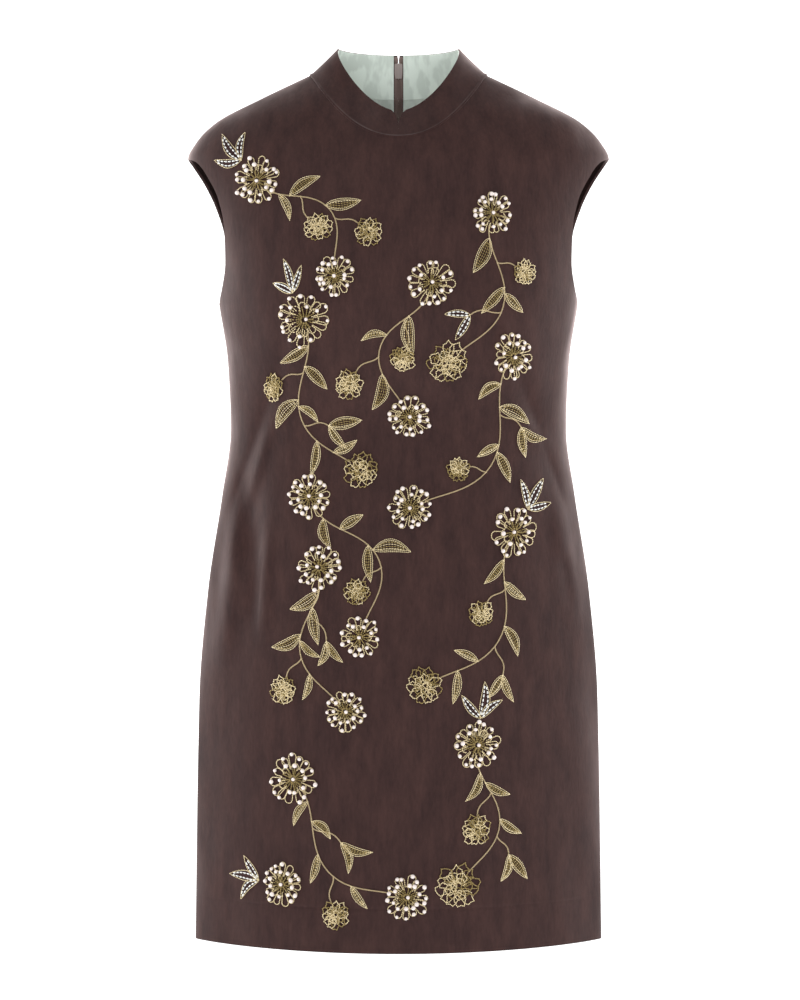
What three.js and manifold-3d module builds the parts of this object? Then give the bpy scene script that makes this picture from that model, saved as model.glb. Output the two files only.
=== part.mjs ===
/**
 * Cheongsam dress, knee length, with an upright collar and cap shoulders cut in one with
 * the body. It is filled out as if worn, and hollow.
 *
 * Millimetres, +Z up. The dress faces -Y, and +X is the wearer's left. The origin lies
 * midway between the two points where the shoulder seams meet the collar.
 */
import * as THREE from 'three';
import { mergeVertices } from 'three/addons/utils/BufferGeometryUtils.js';
import Module from 'manifold-3d';

// ---------------------------------------------------------------- driving sizes

const VELVET = 1.5;             // thickness of the outer cloth
const LINING = 1.0;             // thickness of linings and facings
const SEAM_GAP = 0.3;           // between pieces at a seam, and between layers
const FIRST_LAYER = VELVET + SEAM_GAP;

const NECK_HALF_WIDTH = 93;     // shoulder neck points, from the middle
const FRONT_NECK_DROP = 75;
const BACK_NECK_DROP = 14;
const NECK_ROUNDNESS = 2.2;
const CAP_TIP_X = 221;          // outer ends of the cap shoulders
const CAP_TIP_Z = -88;
const UNDERARM_HALF_WIDTH = 188;
const UNDERARM_Z = -240;
const NECK_LINING_ROW = -124;   // last panel row that the neck lining reaches
const HEM_Z = -905;

const COLLAR = {
  halfWidth: 64.5,              // of the top edge
  front: 60,
  back: 61,
  backTop: 30.5,                // height of the top edge behind the neck
  frontRise: 74.5,              // how far it climbs from the centre front
  riseEnds: THREE.MathUtils.degToRad(105),
  riseCurve: 1.8,
  notchStarts: 0.45,            // of the collar's height, at the centre front
  notchHalfWidth: 5,
};

const ZIP = {
  tapeHalfWidth: 4.4,
  liningFrom: 5.2,              // the linings' edges, from the middle at the neck
  tapeWall: 0.8,
  coilHalfWidth: 2.3,
  coilWall: 1.5,
  coilLastRow: -480,            // panel rows at which the coil and the tapes end
  tapeLastRow: -540,
  stopLength: 5,
  sliderAt: 0.66,               // of the collar's height, at the centre back
  openHalfGap: 1.0,             // between the two edges beside the slider and above it
  openFrom: 0.42,
  openFully: 0.52,
};

// Level sections of the dress, at the places a dressmaker measures. width is the half
// width, front and back the depths at the middle, square how flat the middle is, and edge
// how the sides turn: 0.5 is an ellipse and 1 a pointed lens. Down to the cap tips the
// width is the shoulder line. A smooth curve joins the rows.
const SECTIONS = table(['z', 'width', 'front', 'back', 'square', 'edge'], [
  [10, 72, 30, 47, 2.2, 0.5],                                   // inside the collar
  [0, NECK_HALF_WIDTH, 38, 58, 2.2, 0.5],                       // neck points
  [-25, 145, 58, 86, 2.2, 0.5],                                 // middle of the shoulders
  [-50, 192, 75, 96, 2.2, 0.5],                                 // shoulder points
  [-70, 212, 87, 100, 2.2, 0.5],
  [CAP_TIP_Z, CAP_TIP_X, 97, 102, 2.2, 0.5],                    // cap tips
  [-130, 208, 108, 105, 2.25, 0.5],                             // chest
  [-185, 195, 120, 103, 2.45, 0.5],                             // bust
  [UNDERARM_Z, UNDERARM_HALF_WIDTH, 126, 96, 2.6, 0.5],         // underarm
  [-300, 179, 116, 88, 2.5, 0.56],                              // under the bust
  [-370, 176, 96, 82, 2.2, 0.63],                               // waist
  [-440, 185, 99, 93, 2.15, 0.7],                               // high hip
  [-540, 200, 106, 109, 2.1, 0.76],                             // hips
  [-650, 209, 111, 109, 2, 0.8],                                // thighs
  [HEM_Z, 213, 113, 100, 2, 0.85],                              // hem
]);

// Edge of each armhole, as the distance from the middle at each height.
const ARMHOLES = table(['z', 'front', 'back'], [
  [CAP_TIP_Z, CAP_TIP_X, CAP_TIP_X],
  [-95, 209, 216],
  [-112, 197, 205],
  [-135, 186, 194],
  [-165, 180, 185],
  [-200, 179, 182],
  [-225, 183, 184],
  [UNDERARM_Z, UNDERARM_HALF_WIDTH, UNDERARM_HALF_WIDTH],
]);

// The largest folds, as soft ridges (height above zero) and troughs, from one end to the
// other. face is -1 for the front and 1 for the back.
const FOLDS = table(['face', 'fromX', 'fromZ', 'toX', 'toZ', 'width', 'height'], [
  [-1, 112, -285, 182, -480, 14, -3],     // bust dart, wearer's left
  [-1, -112, -285, -182, -480, 14, -3],   // bust dart, wearer's right
  [-1, -152, -420, -158, -520, 13, -5],   // hip fold, wearer's right
  [-1, -166, -440, -188, -600, 14, 4],
  [-1, 168, -430, 186, -560, 14, 3],
  [1, -128, -372, -34, -392, 16, 5],      // folds across the small of the back
  [1, 30, -398, 132, -376, 16, 5],
]);

// Heights of the panel's rows, measured down the armhole and the side seam.
const ROW_HEIGHTS = [
  -88, -90, -95, -102, -112, -124, -142, -165, -195, -222, -236, -240,
  -265, -298, -335, -375, -425, -480, -540, -610, -700, -800, -905,
];
// Distances from the middle at which the columns of the panels and of the collar meet on
// the neck seam, and the rest of the panel's columns, from the middle (0) to its side (1).
const NECK_PLACES = [0, ZIP.liningFrom, 20, 38, 55, 70, 83, 90.5, NECK_HALF_WIDTH];
const FACING_COLUMNS = [0.895, 0.945, 0.978, 1];
const COLUMN_PLACES = [
  ...NECK_PLACES.map((x) => x / CAP_TIP_X), 0.52, 0.64, 0.77, ...FACING_COLUMNS,
];

const COLOURS = {
  velvet: 0x41302e,
  lining: 0xc8d5cb,
  tape: 0x6b5c58,
  metal: 0x675e5b,
};

// ---------------------------------------------------------------- tables and curves

/** Rows of numbers as objects with named columns. */
function table(names, rows) {
  return rows.map((row) => Object.fromEntries(names.map((name, i) => [name, row[i]])));
}

/** Slope at a table row that keeps the curve from overshooting its neighbours. */
function gentleSlope(before, after) {
  if (before * after <= 0) return 0;
  return (2 * before * after) / (before + after);
}

/** A smooth function of z through one column of a table whose rows run downwards. */
function through(rows, column) {
  const heights = rows.map((row) => row.z);
  const values = rows.map((row) => row[column]);
  const last = rows.length - 1;
  const steps = [];
  for (let i = 0; i < last; i += 1) {
    steps.push((values[i + 1] - values[i]) / (heights[i + 1] - heights[i]));
  }
  const slopes = values.map((_, i) => {
    if (i === 0) return steps[0];
    if (i === last) return steps[last - 1];
    return gentleSlope(steps[i - 1], steps[i]);
  });
  return (z) => {
    let i = 0;
    while (i < last - 1 && z < heights[i + 1]) i += 1;
    const span = heights[i + 1] - heights[i];
    const t = THREE.MathUtils.clamp((z - heights[i]) / span, 0, 1);
    const fromStart = (1 + 2 * t) * (1 - t) ** 2 * values[i] + t * (1 - t) ** 2 * span * slopes[i];
    const fromEnd = t ** 2 * (3 - 2 * t) * values[i + 1] + t ** 2 * (t - 1) * span * slopes[i + 1];
    return fromStart + fromEnd;
  };
}

const halfWidth = through(SECTIONS, 'width');
const frontDepth = through(SECTIONS, 'front');
const backDepth = through(SECTIONS, 'back');
const squareness = through(SECTIONS, 'square');
const edgeTurn = through(SECTIONS, 'edge');
const armholeFront = through(ARMHOLES, 'front');
const armholeBack = through(ARMHOLES, 'back');

/** Smooth step from 0 at a to 1 at b. */
function smooth(a, b, value) {
  const t = THREE.MathUtils.clamp((value - a) / (b - a), 0, 1);
  return t * t * (3 - 2 * t);
}

// ---------------------------------------------------------------- surface of the body

/** Height of every fold above the plain surface at a place on one face. */
function foldHeight(face, x, z) {
  let total = 0;
  for (const fold of FOLDS) {
    if (fold.face !== face) continue;
    const alongX = fold.toX - fold.fromX;
    const alongZ = fold.toZ - fold.fromZ;
    const length = Math.hypot(alongX, alongZ);
    const along = ((x - fold.fromX) * alongX + (z - fold.fromZ) * alongZ) / length ** 2;
    const away = ((x - fold.fromX) * alongZ - (z - fold.fromZ) * alongX) / length;
    const taper = smooth(-0.12, 0.3, along) * (1 - smooth(0.7, 1.12, along));
    total += fold.height * taper * Math.exp(-((away / fold.width) ** 2));
  }
  return total;
}

/** How far the face stands in front of (or behind) the side seams at x and z. */
function standOff(face, x, z) {
  const depth = face < 0 ? frontDepth(z) : backDepth(z);
  const across = Math.min(Math.abs(x) / halfWidth(z), 1);
  const rise = (1 - across ** squareness(z)) ** edgeTurn(z);
  return depth * rise + foldHeight(face, x, z) * smooth(0, 0.35, rise);
}

/** A point of the body's outer surface. face is -1 for the front and 1 for the back. */
function bodyPoint(face, x, z) {
  return new THREE.Vector3(x, face * (SEAM_GAP / 2 + standOff(face, x, z)), z);
}

/** Zero on the body's outer surface and more than zero outside it. */
function bodyLevel(face, x, y, z) {
  const depth = face < 0 ? frontDepth(z) : backDepth(z);
  const stand = Math.abs(face * y - SEAM_GAP / 2);
  const fold = foldHeight(face, x, z) * smooth(0, 0.35, stand / depth);
  const rise = Math.max(stand - fold, 0) / depth;
  return rise ** (1 / edgeTurn(z)) + (Math.abs(x) / halfWidth(z)) ** squareness(z) - 1;
}

/** Outward normal of the body's outer surface. */
function bodyNormal(face, x, z) {
  const { y } = bodyPoint(face, x, z);
  const step = 0.05;
  return new THREE.Vector3(
    bodyLevel(face, x + step, y, z) - bodyLevel(face, x - step, y, z),
    bodyLevel(face, x, y + step, z) - bodyLevel(face, x, y - step, z),
    bodyLevel(face, x, y, z + step) - bodyLevel(face, x, y, z - step),
  ).normalize();
}

/** Height of the neck seam at a distance from the middle. */
function neckHeight(face, x) {
  const drop = face < 0 ? FRONT_NECK_DROP : BACK_NECK_DROP;
  return -drop * (1 - Math.min(Math.abs(x) / NECK_HALF_WIDTH, 1) ** NECK_ROUNDNESS);
}

/** Height of the shoulder seam at a distance from the middle. */
function shoulderHeight(x) {
  let low = CAP_TIP_Z;
  let high = 0;
  for (let i = 0; i < 40; i += 1) {
    const middle = (low + high) / 2;
    if (halfWidth(middle) > x) low = middle;
    else high = middle;
  }
  return (low + high) / 2;
}

/** Distance of the armhole or the side seam from the middle. */
function sideEdge(face, z) {
  if (z < UNDERARM_Z) return halfWidth(z);
  return face < 0 ? armholeFront(z) : armholeBack(z);
}

/**
 * Where a row and a column of a panel cross, as x and z. The rows follow the neck and
 * shoulder seams at the top and are level from the underarm down.
 */
function panelPlace(face, column, rowHeight, startX = 0) {
  const topX = Math.abs(column) * CAP_TIP_X;
  const onNeck = topX < NECK_HALF_WIDTH + 1e-6;
  const topZ = onNeck ? neckHeight(face, topX) : shoulderHeight(topX);
  const drop = face < 0 ? FRONT_NECK_DROP : BACK_NECK_DROP;
  const fallen = (CAP_TIP_Z - rowHeight) / (CAP_TIP_Z - HEM_Z);
  const middleZ = -drop + fallen * (HEM_Z + drop);
  const levelZ = THREE.MathUtils.lerp(middleZ, rowHeight, Math.abs(column));
  const topLevel = THREE.MathUtils.lerp(-drop, CAP_TIP_Z, Math.abs(column));
  const fade = 1 - THREE.MathUtils.clamp((CAP_TIP_Z - rowHeight) / (CAP_TIP_Z - UNDERARM_Z), 0, 1);
  const z = levelZ + (topZ - topLevel) * fade;
  const x = column * sideEdge(face, rowHeight);
  const startShare = 1 - Math.abs(column);
  return { x: x + startX * startShare, z, onNeckSeam: onNeck && fade === 1 };
}

// ---------------------------------------------------------------- surface of the collar

/** A point on the collar's top edge. turn runs from the centre front round to the back. */
function collarTop(turn) {
  const climb = Math.sin((Math.min(Math.abs(turn) / COLLAR.riseEnds, 1) * Math.PI) / 2);
  const depth = turn < Math.PI / 2 ? COLLAR.front : COLLAR.back;
  return new THREE.Vector3(
    COLLAR.halfWidth * Math.sin(turn),
    -depth * Math.cos(turn),
    COLLAR.backTop - COLLAR.frontRise * (1 - climb ** COLLAR.riseCurve),
  );
}

/** A point on the neck seam. */
function collarBase(turn) {
  const face = turn < Math.PI / 2 ? -1 : 1;
  const x = NECK_HALF_WIDTH * Math.sin(turn);
  const z = neckHeight(face, x);
  return new THREE.Vector3(x, face * standOff(face, x, z), z);
}

/** A point of the collar's outer surface. height runs from 0 at the seam to 1 at the top. */
function collarPoint(turn, height) {
  return collarBase(turn).lerp(collarTop(turn), height);
}

/** Outward normal of the collar's outer surface. */
function collarNormal(turn, height) {
  const step = 0.01;
  const around = collarPoint(turn + step, height).sub(collarPoint(turn - step, height));
  const up = collarTop(turn).sub(collarBase(turn));
  return around.cross(up).normalize();
}

/** Shared normal of the neck seam, between the body's and the collar's. */
function neckSeamNormal(face, x) {
  const turnToSide = Math.asin(Math.min(Math.abs(x) / NECK_HALF_WIDTH, 1));
  const turn = face < 0 ? turnToSide : Math.PI - turnToSide;
  const safeTurn = THREE.MathUtils.clamp(turn, 0.02, Math.PI - 0.02);
  const body = bodyNormal(face, Math.abs(x), neckHeight(face, x));
  const shared = body.add(collarNormal(safeTurn, 0));
  if (turnToSide > Math.PI / 2 - 1e-3) shared.y = 0;
  if (Math.abs(x) < 0.5) shared.x = 0;
  if (x < 0) shared.x *= -1;
  return shared.normalize();
}

// ---------------------------------------------------------------- cloth walls

/** A place on a surface: its outer point and its outward normal. */
function bodyPlace(face, x, z, onNeckSeam = false) {
  const normal = onNeckSeam ? neckSeamNormal(face, x) : bodyNormal(face, x, z);
  return { point: bodyPoint(face, x, z), normal };
}

/** A place on the collar. hand is 1 for the wearer's left half and -1 for the right. */
function collarPlace(hand, turn, height) {
  const face = turn < Math.PI / 2 ? -1 : 1;
  const onSeam = height < 1e-6;
  const x = NECK_HALF_WIDTH * Math.sin(turn);
  const normal = onSeam ? neckSeamNormal(face, x) : collarNormal(turn, height);
  const point = collarPoint(turn, height);
  point.x *= hand;
  normal.x *= hand;
  return { point, normal };
}

/** Moves the first row of a grid away from its seam, towards the second row. */
function leaveSeam(rows) {
  rows[0].forEach((place, i) => {
    const along = rows[1][i].point.clone().sub(place.point).normalize();
    place.point.addScaledVector(along, SEAM_GAP);
  });
  return rows;
}

/**
 * A closed wall between two layers of a grid of places, at two depths under its surface.
 * Its quads are split alike on both sides of the middle, so that layers match.
 */
function clothWall(rows, inset, thickness) {
  const rowCount = rows.length;
  const columnCount = rows[0].length;
  const positions = [];
  for (const depth of [inset, inset + thickness]) {
    for (const place of rows.flat()) {
      positions.push(...place.point.clone().addScaledVector(place.normal, -depth).toArray());
    }
  }
  const at = (layer, row, column) => (layer * rowCount + row) * columnCount + column;
  const index = [];
  const fromMiddle = (i) => Math.abs(positions[3 * i]);
  const quad = (a, b, c, d) => index.push(a, b, c, a, c, d);
  const surfaceQuad = (layer, r, c) => {
    const corners = [at(layer, r, c), at(layer, r, c + 1), at(layer, r + 1, c + 1), at(layer, r + 1, c)];
    if (fromMiddle(corners[0]) > fromMiddle(corners[1])) corners.push(corners.shift());
    quad(...(layer === 0 ? corners : [corners[0], corners[3], corners[2], corners[1]]));
  };
  const lastRow = rowCount - 1;
  const lastColumn = columnCount - 1;
  for (let r = 0; r < lastRow; r += 1) {
    for (let c = 0; c < lastColumn; c += 1) {
      surfaceQuad(0, r, c);
      surfaceQuad(1, r, c);
    }
    quad(at(0, r, 0), at(0, r + 1, 0), at(1, r + 1, 0), at(1, r, 0));
    quad(at(0, r + 1, lastColumn), at(0, r, lastColumn), at(1, r, lastColumn), at(1, r + 1, lastColumn));
  }
  for (let c = 0; c < lastColumn; c += 1) {
    quad(at(0, 0, c + 1), at(0, 0, c), at(1, 0, c), at(1, 0, c + 1));
    quad(at(0, lastRow, c), at(0, lastRow, c + 1), at(1, lastRow, c + 1), at(1, lastRow, c));
  }
  return facingOut(positions, index);
}

/** A geometry whose triangles all face out. */
function facingOut(positions, index) {
  const corner = (i) => new THREE.Vector3().fromArray(positions, index[i] * 3);
  let volume = 0;
  for (let i = 0; i < index.length; i += 3) {
    volume += corner(i).dot(corner(i + 1).cross(corner(i + 2)));
  }
  const ordered = volume < 0 ? index.toReversed() : index;
  const geometry = new THREE.BufferGeometry();
  geometry.setAttribute('position', new THREE.Float32BufferAttribute(positions, 3));
  geometry.setIndex(ordered);
  return geometry;
}

// ---------------------------------------------------------------- cloth pieces

/** Half of the gap between the two edges of the back opening, at a height up the collar. */
function backHalfGap(height) {
  const open = smooth(ZIP.openFrom, ZIP.openFully, height);
  return THREE.MathUtils.lerp(SEAM_GAP / 2, ZIP.openHalfGap, open);
}

function frontPanel() {
  const places = [...COLUMN_PLACES.slice(1).map((place) => -place).reverse(), ...COLUMN_PLACES];
  const rows = ROW_HEIGHTS.map((height) => places.map((column) => {
    const { x, z, onNeckSeam } = panelPlace(-1, column, height);
    return bodyPlace(-1, x, z, onNeckSeam);
  }));
  return clothWall(rows, 0, VELVET);
}

function backPanel(hand) {
  const rows = ROW_HEIGHTS.map((height) => COLUMN_PLACES.map((column) => {
    const { x, z, onNeckSeam } = panelPlace(1, column, height, SEAM_GAP / 2);
    return bodyPlace(1, hand * x, z, onNeckSeam);
  }));
  return clothWall(rows, 0, VELVET);
}

/** Half of the notch between the two front ends of the collar, at a height up it. */
function notchHalfGap(height) {
  const open = smooth(COLLAR.notchStarts, 1.35, height) * 1.5;
  const roundedCorner = 2.5 * smooth(0.9, 1, height);
  return SEAM_GAP / 2 + COLLAR.notchHalfWidth * open + roundedCorner;
}

/** Turn at which the collar is a distance from the middle, near the front or the back. */
function turnAt(distance, height, atBack) {
  const radius = THREE.MathUtils.lerp(NECK_HALF_WIDTH, COLLAR.halfWidth, height);
  const turn = Math.asin(distance / radius);
  return atBack ? Math.PI - turn : turn;
}

function collarHalf(hand, inset, thickness, backEdge) {
  const heights = [0, 0.42, 0.52, 0.75, 0.92, 1];
  const frontTurns = NECK_PLACES.map((x) => Math.asin(x / NECK_HALF_WIDTH));
  const backTurns = frontTurns.slice(1, -1).reverse().map((turn) => Math.PI - turn);
  const rows = heights.map((height) => {
    const first = turnAt(notchHalfGap(height), height, false);
    const last = turnAt(backEdge(height), height, true);
    const turns = [first, ...frontTurns.slice(1), ...backTurns, last];
    return turns.map((turn) => collarPlace(hand, turn, height));
  });
  return clothWall(leaveSeam(rows), inset, thickness);
}

/** Strip of body lining that shows inside the back of the neck. */
function neckLining(hand) {
  const heights = ROW_HEIGHTS.filter((height) => height >= NECK_LINING_ROW);
  const columns = NECK_PLACES.slice(1, -1).map((x) => x / CAP_TIP_X);
  const rows = heights.map((height) => columns.map((column) => {
    const { x, z, onNeckSeam } = panelPlace(1, column, height, SEAM_GAP / 2);
    return bodyPlace(1, hand * x, z, onNeckSeam);
  }));
  return clothWall(leaveSeam(rows), FIRST_LAYER, LINING);
}

/** Velvet facing inside one half of an armhole, following its edge. */
function armholeFacing(face, hand) {
  const heights = ROW_HEIGHTS.filter((height) => height >= UNDERARM_Z);
  const startX = face < 0 ? 0 : SEAM_GAP / 2;
  const rows = heights.map((height) => FACING_COLUMNS.map((column) => {
    const { x, z } = panelPlace(face, column, height, startX);
    return bodyPlace(face, hand * x, z);
  }));
  return clothWall(rows, FIRST_LAYER, LINING);
}

// ---------------------------------------------------------------- zip

/** Stations down the centre back: on the collar to its seam, then on the panel's rows. */
function zipStations(fromHeight, lastRow) {
  const collarHeights = [0.97, 0.92, 0.75, 0.52, 0.42, 0].filter((height) => height <= fromHeight);
  const rowHeights = ROW_HEIGHTS.filter((height) => height < CAP_TIP_Z && height >= lastRow);
  return [
    ...collarHeights.map((height) => ({ onCollar: true, height })),
    ...rowHeights.map((height) => ({ onCollar: false, z: panelPlace(1, 0, height).z })),
  ];
}

/** A strip down the centre back, between two distances from the middle. */
function zipStrip(hand, stations, distances, inset, thickness) {
  const rows = stations.map((station) => distances(station).map((distance) => {
    if (!station.onCollar) return bodyPlace(1, hand * distance, station.z);
    const side = distance < 0 ? -hand : hand;
    return collarPlace(side, turnAt(Math.abs(distance), station.height, true), station.height);
  }));
  return clothWall(rows, inset, thickness);
}

function zipTape(hand) {
  const distances = (station) => {
    const gap = station.onCollar ? backHalfGap(station.height) : SEAM_GAP / 2;
    return [gap, ZIP.tapeHalfWidth];
  };
  return zipStrip(hand, zipStations(1, ZIP.tapeLastRow), distances, FIRST_LAYER, ZIP.tapeWall);
}

const COIL_LAYER = FIRST_LAYER + ZIP.tapeWall + SEAM_GAP;

function zipCoil() {
  const half = ZIP.coilHalfWidth;
  const stations = zipStations(0.42, ZIP.coilLastRow);
  return zipStrip(1, stations, () => [-half, half], COIL_LAYER, ZIP.coilWall);
}

/** Metal stop clamped on the tapes just under the coil. */
function zipStop() {
  const top = panelPlace(1, 0, ZIP.coilLastRow).z - SEAM_GAP;
  const stations = [{ z: top }, { z: top - ZIP.stopLength }];
  const half = ZIP.coilHalfWidth + 0.4;
  return zipStrip(1, stations, () => [-half, half], COIL_LAYER + SEAM_GAP, ZIP.coilWall + 0.2);
}

const { Manifold, Mesh: SolidMesh } = await loadSolids();

async function loadSolids() {
  const library = await Module();
  library.setup();
  return library;
}

/** A closed geometry as a solid that can be joined to others. */
function solidOf(geometry) {
  const bare = geometry.clone();
  bare.deleteAttribute('normal');
  bare.deleteAttribute('uv');
  const merged = mergeVertices(bare, 1e-4);
  return new Manifold(new SolidMesh({
    numProp: 3,
    vertProperties: Float32Array.from(merged.getAttribute('position').array),
    triVerts: Uint32Array.from(merged.index.array),
  }));
}

/** Several closed geometries joined into one. */
function joined(geometries) {
  const mesh = geometries.map(solidOf).reduce((whole, next) => whole.add(next)).getMesh();
  const geometry = new THREE.BufferGeometry();
  geometry.setAttribute('position', new THREE.Float32BufferAttribute(mesh.vertProperties, 3));
  geometry.setIndex([...mesh.triVerts]);
  return geometry;
}

/** A plate drawn in x (across) and z (up), from one depth outward to another. */
function plate(shape, fromY, toY) {
  const options = { depth: toY - fromY, bevelEnabled: false, curveSegments: 6 };
  const geometry = new THREE.ExtrudeGeometry(shape, options);
  return geometry.rotateX(Math.PI / 2).translate(0, toY, 0);
}

/** A rectangle with its lower left corner at x and y. */
function rectangle(x, y, width, height, Kind = THREE.Shape) {
  const path = new Kind();
  path.moveTo(x, y);
  path.lineTo(x + width, y);
  path.lineTo(x + width, y + height);
  path.lineTo(x, y + height);
  path.closePath();
  return path;
}

// The slider is drawn with its pull's axis at the origin, the cloth's outer face at
// -PULL_AXIS_OUT, and z along the slope of the collar.
const PULL_AXIS_OUT = 0.85;
const ARCH = { halfThickness: 0.6, up: 4.2, down: 4.2, out: 2.3, bar: 1.0 };

/** Shield on the inside of the dress, wider at its top. */
function sliderShield() {
  const shape = new THREE.Shape();
  shape.moveTo(-3.2, -8);
  shape.lineTo(3.2, -8);
  shape.lineTo(4.2, -2);
  shape.lineTo(4.2, 6);
  shape.quadraticCurveTo(4.2, 8, 2.2, 8);
  shape.lineTo(-2.2, 8);
  shape.quadraticCurveTo(-4.2, 8, -4.2, 6);
  shape.lineTo(-4.2, -2);
  shape.closePath();
  const outer = -PULL_AXIS_OUT - COIL_LAYER;
  return plate(shape, outer - 2.6, outer);
}

/** Thin neck through the back opening, with the arch that holds the pull outside. */
function sliderArch() {
  const { halfThickness, up, down, out, bar } = ARCH;
  const root = -PULL_AXIS_OUT - COIL_LAYER - 0.5;
  const shape = rectangle(-down, root, up + down, out - root);
  shape.holes.push(rectangle(-down + bar, -1.25, down - bar + 1.7, out - bar + 1.25, THREE.Path));
  const options = { depth: 2 * halfThickness, bevelEnabled: false };
  const geometry = new THREE.ExtrudeGeometry(shape, options);
  const along = new THREE.Matrix4().makeBasis(
    new THREE.Vector3(0, 0, 1),
    new THREE.Vector3(0, 1, 0),
    new THREE.Vector3(-1, 0, 0),
  );
  return geometry.applyMatrix4(along).translate(halfThickness, 0, 0);
}

function zipSlider() {
  return joined([sliderShield(), sliderArch()]);
}

/** Flat pull, round at its free end, hung by the bar at its top. */
function zipPull() {
  const shape = new THREE.Shape();
  shape.moveTo(-2.3, 0.5);
  shape.lineTo(2.3, 0.5);
  shape.lineTo(2.3, -6.4);
  shape.lineTo(2.9, -21);
  shape.quadraticCurveTo(2.9, -25, 0, -25);
  shape.quadraticCurveTo(-2.9, -25, -2.9, -21);
  shape.lineTo(-2.3, -6.4);
  shape.closePath();
  shape.holes.push(rectangle(-1.25, -5.9, 2.5, 5.4, THREE.Path));
  return plate(shape, -0.5, 0.5);
}

// ---------------------------------------------------------------- the dress

function material(name) {
  const metal = name === 'metal';
  return new THREE.MeshStandardMaterial({
    color: COLOURS[name],
    roughness: metal ? 0.45 : 0.9,
    metalness: metal ? 0.8 : 0,
    side: THREE.FrontSide,
  });
}

function piece(name, geometry, materialName) {
  const mesh = new THREE.Mesh(geometry, material(materialName));
  mesh.name = name;
  return mesh;
}

/** Group that carries the slider and its pull on the slope of the collar's back. */
function zipHead() {
  const base = collarBase(Math.PI);
  const top = collarTop(Math.PI);
  const slope = Math.atan2(base.y - top.y, top.z - base.z);
  const outward = new THREE.Vector3(0, Math.cos(slope), Math.sin(slope));
  const group = new THREE.Group();
  group.position.copy(collarPoint(Math.PI, ZIP.sliderAt).addScaledVector(outward, PULL_AXIS_OUT));
  group.rotation.x = slope;
  group.add(piece('zip_slider', zipSlider(), 'metal'));
  group.add(piece('zip_pull', zipPull(), 'metal'));
  return group;
}

function dress() {
  const group = new THREE.Group();
  group.add(piece('front', frontPanel(), 'velvet'));
  for (const [side, hand] of [['left', 1], ['right', -1]]) {
    group.add(piece(`back_${side}`, backPanel(hand), 'velvet'));
    group.add(piece(`collar_${side}`, collarHalf(hand, 0, VELVET, backHalfGap), 'velvet'));
    const liningEdge = () => ZIP.liningFrom;
    const collarLining = collarHalf(hand, FIRST_LAYER, LINING, liningEdge);
    group.add(piece(`collar_lining_${side}`, collarLining, 'lining'));
    group.add(piece(`neck_lining_${side}`, neckLining(hand), 'lining'));
    group.add(piece(`facing_front_${side}`, armholeFacing(-1, hand), 'velvet'));
    group.add(piece(`facing_back_${side}`, armholeFacing(1, hand), 'velvet'));
    group.add(piece(`zip_tape_${side}`, zipTape(hand), 'tape'));
  }
  group.add(piece('zip_coil', zipCoil(), 'tape'));
  group.add(piece('zip_stop', zipStop(), 'metal'));
  group.add(zipHead());
  return group;
}

export default dress();
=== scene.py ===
"""Velvet cheongsam dress with beaded vines, filled out as if worn.

The cloth's surfaces are worked out in millimetres, from the same few sections as the
frame's solids, and turned into metres when a mesh is made. The dress faces -Y, and +X is
the wearer's left. The beading is ordinary flowering vines: vine_starts lays them out by a
rule, and the flower, leaf and stem functions draw them.
"""
import math

import bpy
import numpy as np
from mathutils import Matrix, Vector


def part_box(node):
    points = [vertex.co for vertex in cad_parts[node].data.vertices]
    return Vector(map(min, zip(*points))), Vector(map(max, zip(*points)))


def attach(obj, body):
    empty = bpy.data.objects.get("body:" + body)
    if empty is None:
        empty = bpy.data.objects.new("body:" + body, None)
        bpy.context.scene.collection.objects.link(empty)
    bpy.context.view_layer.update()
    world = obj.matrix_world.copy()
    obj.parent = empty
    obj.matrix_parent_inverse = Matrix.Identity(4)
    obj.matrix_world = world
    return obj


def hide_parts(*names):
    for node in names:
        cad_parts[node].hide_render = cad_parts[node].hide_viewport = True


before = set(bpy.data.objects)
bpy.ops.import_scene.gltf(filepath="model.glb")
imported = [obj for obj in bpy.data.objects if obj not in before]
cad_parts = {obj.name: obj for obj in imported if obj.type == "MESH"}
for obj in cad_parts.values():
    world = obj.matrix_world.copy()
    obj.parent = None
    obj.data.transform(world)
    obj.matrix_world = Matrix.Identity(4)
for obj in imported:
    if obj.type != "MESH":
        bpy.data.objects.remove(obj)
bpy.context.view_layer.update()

MM = 0.001

# ------------------------------------------------------------------ driving sizes (mm)

VELVET = 1.5
LINING = 1.0
SEAM_GAP = 0.3                  # between layers
SEAM_OPEN = 0.01                # between two edges that are sewn together
FIRST_LAYER = VELVET + SEAM_GAP
TAPE = 0.8
COIL_LAYER = FIRST_LAYER + TAPE + SEAM_GAP

FRONT_LOW, FRONT_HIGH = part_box("front")
HEM_Z = round(FRONT_LOW.z / MM)
CAP_TIP_X = round(FRONT_HIGH.x / MM)
CAP_TIP_Z = -88
NECK_HALF_WIDTH = 93
UNDERARM_HALF_WIDTH = 188
UNDERARM_Z = -240
FRONT_NECK_DROP = 75
BACK_NECK_DROP = 14
NECK_ROUNDNESS = 2.2
NECK_LINING_ROW = -124
LINING_FROM = 5.2
TAPE_HALF_WIDTH = 4.4
TAPE_LAST_ROW = -540
COIL_LAST_ROW = -480
ZIP_OPEN_FROM = 0.42
ZIP_OPEN_FULLY = 0.52
ZIP_OPEN_HALF_GAP = 1.0
HEM_DEPTH = 45
HEM_LINE_WIDTH = 1.6            # of the dent where the hem is sewn
HEM_LINE_DENT = 0.6
FACING_FROM = 0.895             # of the way from the middle to the armhole's edge
NECK_LINING_TO = 90.5
ARMHOLE_CROWDING = 1.6          # how much closer rows lie at the top of the armhole
SEAM_ROLL = 1.1                 # how far the collar swells beside its seam
SEAM_ROLL_AT = 0.035            # of the collar's height
SEAM_BLEND = 84                 # from the middle: where the neck seam's normals fade out

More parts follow.
